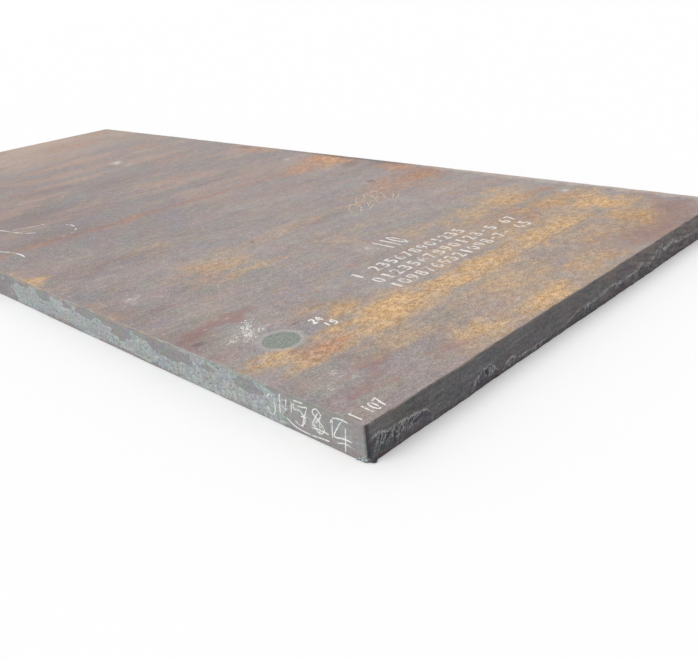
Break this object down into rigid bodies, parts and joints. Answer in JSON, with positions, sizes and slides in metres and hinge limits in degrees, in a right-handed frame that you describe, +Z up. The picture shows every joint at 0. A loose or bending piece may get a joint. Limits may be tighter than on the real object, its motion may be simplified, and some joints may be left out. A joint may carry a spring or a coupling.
{
  "type": "steel plate",
  "caption": "Heavy rectangular hot-rolled steel plate lying flat, flame-cut on every edge, with mill scale and rust; raw stock for cutting, machining or bearing loads.",
  "frame": {"origin": "centre of the underside, at the middle of the plate's width and length", "axes": "+X across the plate's width, +Y along its length away from the freshly flame-cut end, +Z up through its thickness"},
  "size_m": [2.2037, 5.0101, 0.11],
  "materials": {
    "hot_rolled_steel": "matte"
  },
  "bodies": {
    "root": {"plate": "hot_rolled_steel"}
  },
  "joints": []
}
